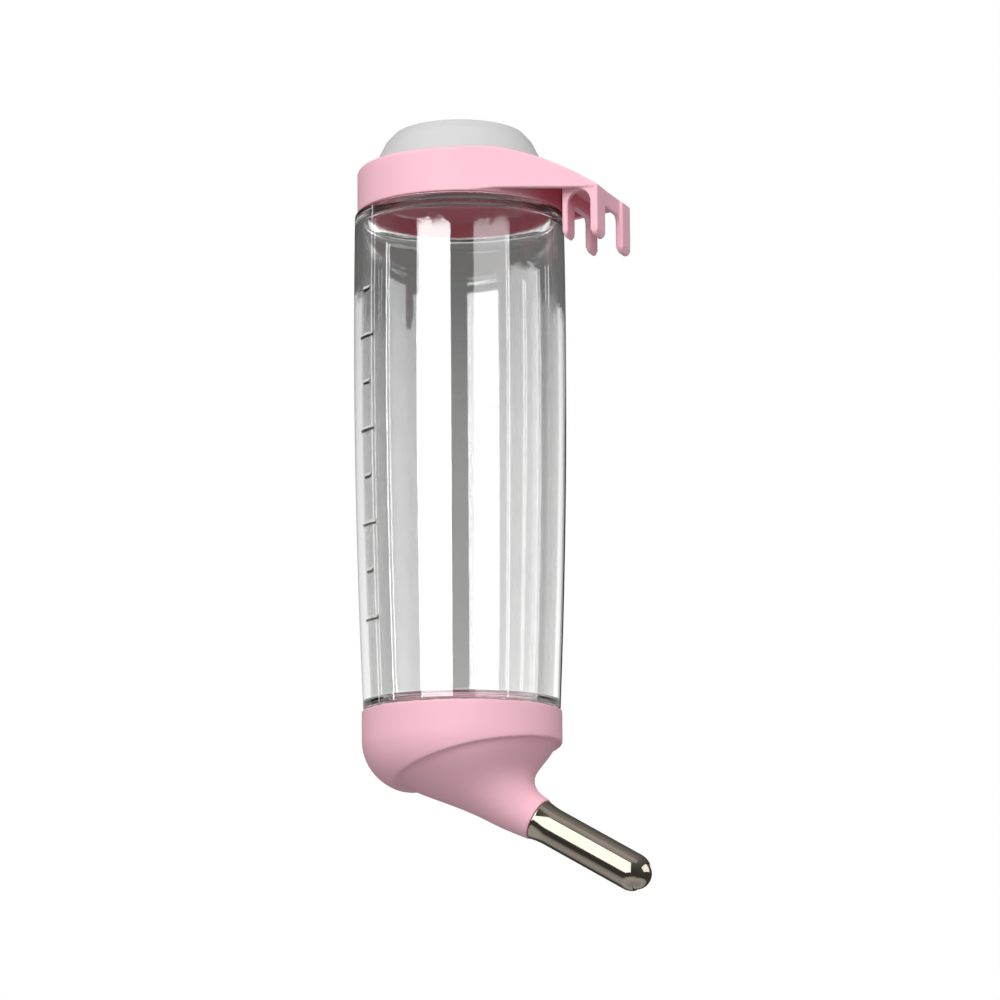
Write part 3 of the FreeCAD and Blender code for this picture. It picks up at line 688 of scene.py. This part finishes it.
def ball():
    low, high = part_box("tip_ball")
    radius = (high.y - low.y) / 2 / MM
    angles = [pi * step / HALF_ROUND for step in range(HALF_ROUND + 1)]
    half_round = [Vector((radius * sin(angle), -radius * cos(angle))) for angle in angles]
    piece = turned("tip_ball_polished", half_round)
    on_nozzle(piece)
    piece.matrix_world.translation = (low + high) / 2
    return finished(piece, "ball", STEEL, "tip_ball")


def hidden_pieces():
    """The small inner pieces keep their CAD shape and get their real surfaces."""
    for node, material in (("cap_seal", RUBBER), ("cup_gasket", RUBBER), ("nozzle_sleeve", RUBBER),
                           ("spring_stop", STOP), ("ball_spring", WIRE)):
        nodes[node].data.materials.clear()
        nodes[node].data.materials.append(material)


# ---------------------------------------------------------------- camera, lights and floor

PHOTO_AZIMUTH = 20.0        # degrees round from -Y towards +X
PHOTO_TILT = 10.3           # the camera looks up by this much
PHOTO_ROLL = 0.4
PHOTO_DISTANCE = 1.33
AIM_Z = -0.0893             # the camera stands level with its view of this height on the bottle's axis
AXIS_PLACE = 0.4609         # the bottle's axis is this far across the picture there
LENS = 151.06
SENSOR = 36.0
FLOOR_Z = -0.42


def camera():
    around = radians(PHOTO_AZIMUTH)
    tilt = radians(PHOTO_TILT)
    ahead = Vector((-sin(around) * cos(tilt), cos(around) * cos(tilt), sin(tilt)))
    level = ahead.cross(Vector((0, 0, 1))).normalized()
    up = level.cross(ahead)
    roll = radians(PHOTO_ROLL)
    right = level * cos(roll) - up * sin(roll)
    up = right.cross(ahead)
    data = bpy.data.cameras.new("camera")
    data.lens = LENS
    data.sensor_width = SENSOR
    data.clip_start = 0.01
    lens = bpy.data.objects.new("camera", data)
    bpy.context.scene.collection.objects.link(lens)
    aside = (0.5 - AXIS_PLACE) * SENSOR / LENS * PHOTO_DISTANCE
    place = Vector((AXIS_X, 0, AIM_Z)) - ahead * PHOTO_DISTANCE + right * aside
    lens.matrix_world = Matrix.Translation(place) @ Matrix((right, up, -ahead)).transposed().to_4x4()
    bpy.context.scene.camera = lens


def direction(azimuth, height):
    """Towards this azimuth, in degrees round from -Y towards +X, and this height in degrees."""
    around = radians(azimuth)
    up = radians(height)
    return Vector((sin(around) * cos(up), -cos(around) * cos(up), sin(up)))


def softbox(name, azimuth, height, distance, width, length, power, seen_by):
    """A rectangular area light that faces the bottle. seen_by says which rays it reaches."""
    data = bpy.data.lights.new(name, "AREA")
    data.shape = "RECTANGLE"
    data.size = width
    data.size_y = length
    data.energy = power
    light = bpy.data.objects.new(name, data)
    bpy.context.scene.collection.objects.link(light)
    centre = Vector((AXIS_X, 0, AIM_Z))
    towards = direction(azimuth, height)
    light.location = centre + towards * distance
    light.rotation_mode = "QUATERNION"
    light.rotation_quaternion = towards.to_track_quat("Z", "Y")
    light.visible_camera = False
    light.visible_diffuse = "diffuse" in seen_by
    light.visible_glossy = "gloss" in seen_by
    light.visible_transmission = "clear" in seen_by
    return light


def panel(name, left, right, low, high, distance, radiance):
    """An upright softbox between two azimuths and two heights in metres, of a given brightness. It shows
    only as a reflection, and isn't seen straight through a clear wall."""
    width = 2 * distance * tan(radians(right - left) / 2)
    power = radiance * width * (high - low) * pi
    light = softbox(name, (left + right) / 2, 0, distance, width, high - low, power, ("gloss", "clear"))
    light.location.z = (low + high) / 2
    light.data.use_nodes = True
    tree = light.data.node_tree
    path = tree.nodes.new("ShaderNodeLightPath")
    mirrored = tree.nodes.new("ShaderNodeMath")
    mirrored.operation = "MINIMUM"
    mirrored.inputs[1].default_value = 1.0
    tree.links.new(path.outputs["Glossy Depth"], mirrored.inputs[0])
    tree.links.new(mirrored.outputs[0], tree.nodes["Emission"].inputs["Strength"])
    return light


def only_for(pieces, state, *lamps):
    """Light linking: the lamps reach only these pieces (INCLUDE) or all but these (EXCLUDE)."""
    linked = bpy.data.collections.new(lamps[0].name + "_receivers")
    for piece in pieces:
        linked.objects.link(piece)
    for entry in linked.collection_objects:
        entry.light_linking.link_state = state
    for lamp in lamps:
        lamp.light_linking.receiver_collection = linked


# Soft light on every piece: azimuth and height in degrees, distance, width and length in metres, watts.
FILLS = (
    ("key_light", 12, 32, 1.3, 0.8, 0.8, 12.0),
    ("right_fill", 75, 20, 1.3, 0.7, 0.7, 1.2),
    ("left_fill", -80, 20, 1.3, 0.7, 0.7, 1.6),
    ("low_fill", 5, -28, 1.3, 0.8, 0.8, 4.2),
    ("back_fill", 200, 35, 1.4, 0.9, 0.9, 8),
)
# What the clear wall reflects: two azimuths, two heights and the distance in metres, and the radiance.
WALL_PANELS = (
    ("left_box", -27, -8, -0.115, 0.262, 1.0, 14),
    ("middle_box", -8, 11, -0.115, 0.262, 1.0, 14),
    ("wide_box", 36, 56, -0.7, 0.262, 1.0, 4.2),
    ("wider_box", 56, 76, -0.7, 0.262, 1.0, 4.2),
    ("side_box", 76, 96, -0.7, 0.225, 1.0, 4.2),
    ("far_side_box", 96, 117, -0.7, 0.225, 1.0, 4.2),
    ("right_back_box", 117, 147, -0.7, 0.2, 1.0, 0.65),
    ("right_rear_box", 147, 178, -0.7, 0.2, 1.0, 0.65),
    ("left_back_box", -129, -108, -0.7, 0.21, 1.0, 0.5),
    ("left_rear_box", -150, -129, -0.7, 0.21, 1.0, 0.5),
    ("left_strip", -65.2, -63.2, -0.7, 0.27, 1.1, 16),
    ("right_strip", 73.3, 74.7, -0.7, 0.25, 1.0, 12),
    ("left_side_strip", -91, -89, -0.7, 0.3, 1.0, 5),
    ("right_side_strip", 131, 133, -0.7, 0.3, 1.0, 5),
)
SATIN_PANEL = ("satin_box", -27, 11, -0.36, 1.0, 1.0, 1.75)     # what every other piece reflects
STEEL_BOX = ("top_box", 5, 66, 1.0, 1.4, 0.55, 0.5)
BALL_BOX = ("tip_box", 104, 34, 1.0, 1.2, 1.2, 6.0)


def lights(wall, nozzle, tip):
    """Soft light for every piece, and what the bottle's wall, the steel and the rest each reflect."""
    for fill in FILLS:
        softbox(*fill, ("diffuse",))
    only_for((wall,), "INCLUDE", *[panel(*values) for values in WALL_PANELS])
    only_for((wall,), "EXCLUDE", panel(*SATIN_PANEL))
    only_for((nozzle, tip), "INCLUDE", softbox(*STEEL_BOX, ("gloss",)))
    only_for((tip,), "INCLUDE", softbox(*BALL_BOX, ("gloss",)))


WHITE = (1, 1, 1)
SKY_LIGHT = (0.62, 0.62, 0.62)      # the light on rough surfaces from straight above and below
UNDER_LIGHT = (0.38, 0.38, 0.38)
# Degrees above level and the tone there, as seen through the clear wall and in a reflection.
CLEAR_TONES = ((0.0, 0.63), (7.0, 0.47), (9.0, 0.37), (11.0, 0.32), (13.0, 0.17), (14.5, 0.14),
               (25.0, 0.13), (50.0, 0.15), (90.0, 0.25))
GLOSS_TONES = ((-90.0, 0.3), (-55.0, 0.42), (-44.0, 0.42), (-37.0, 0.3), (-31.0, 0.05), (8.0, 0.06),
               (24.0, 0.08), (46.0, 0.12), (60.0, 0.16), (75.0, 0.24), (90.0, 0.32))


def world():
    """A white room. Clear and glossy surfaces see it as a grey studio, darker higher up."""
    scene_world = bpy.data.worlds.new("studio")
    bpy.context.scene.world = scene_world
    scene_world.use_nodes = True
    tree = scene_world.node_tree
    shown = tree.nodes["Background"]
    path = tree.nodes.new("ShaderNodeLightPath")
    place = tree.nodes.new("ShaderNodeTexCoord")
    split = tree.nodes.new("ShaderNodeSeparateXYZ")
    tree.links.new(place.outputs["Generated"], split.inputs[0])
    half = tree.nodes.new("ShaderNodeMapRange")
    half.inputs["From Min"].default_value = -1.0
    tree.links.new(split.outputs["Z"], half.inputs["Value"])

    def even(colour):
        node = tree.nodes.new("ShaderNodeRGB")
        node.outputs[0].default_value = (*colour, 1)
        return node.outputs[0]

    def tones_by_height(tones, warmth):
        ramp = tree.nodes.new("ShaderNodeValToRGB")
        tree.links.new(half.outputs["Result"], ramp.inputs["Fac"])
        stops = ramp.color_ramp.elements
        while len(stops) < len(tones):
            stops.new(0.5)
        for stop, (degrees, tone) in zip(stops, tones):
            stop.position = (sin(radians(degrees)) + 1) / 2
            stop.color = (tone, tone * (1 - warmth / 2), tone * (1 - warmth), 1)
        return ramp.outputs["Color"]

    def choose(factor, first, second):
        blend = tree.nodes.new("ShaderNodeMix")
        blend.data_type = "RGBA"
        tree.links.new(factor, blend.inputs[0])
        tree.links.new(first, blend.inputs[6])
        tree.links.new(second, blend.inputs[7])
        return blend.outputs[2]

    gloss = choose(path.outputs["Is Glossy Ray"], even(WHITE), tones_by_height(GLOSS_TONES, 0.06))
    plain = choose(path.outputs["Is Transmission Ray"], gloss, tones_by_height(CLEAR_TONES, 0.02))
    sky = choose(half.outputs["Result"], even(UNDER_LIGHT), even(SKY_LIGHT))
    tree.links.new(choose(path.outputs["Is Diffuse Ray"], plain, sky), shown.inputs["Color"])


def floor():
    reach = 14.0
    corners = [(x * reach, y * reach, FLOOR_Z) for x, y in ((-1, -1), (1, -1), (1, 1), (-1, 1))]
    mesh = bpy.data.meshes.new("floor")
    mesh.from_pydata(corners, [], [(0, 1, 2, 3)])
    piece = link("floor", mesh)
    made = Nodes("pale_floor")
    tone = made.noise(scale=3, detail=2)
    made.join(made.mix(tone, (0.86, 0.86, 0.86), (0.9, 0.9, 0.9)), made.shader.inputs["Base Color"])
    made.set(Roughness=0.85)
    mesh.materials.append(made.material)
    piece.visible_diffuse = False
    piece.visible_glossy = False
    piece.visible_transmission = False


def view_settings():
    scene = bpy.context.scene
    scene.view_settings.view_transform = "Standard"
    scene.view_settings.look = "None"
    scene.cycles.max_bounces = 20
    scene.cycles.transmission_bounces = 16
    scene.cycles.glossy_bounces = 10
    scene.cycles.caustics_refractive = False


# ---------------------------------------------------------------- the whole scene

camera()
clear_wall = bottle()
cap()
collar()
cup()
drinking_tube = tube()
tip_ball = ball()
hidden_pieces()
lights(clear_wall, drinking_tube, tip_ball)
world()
floor()
view_settings()
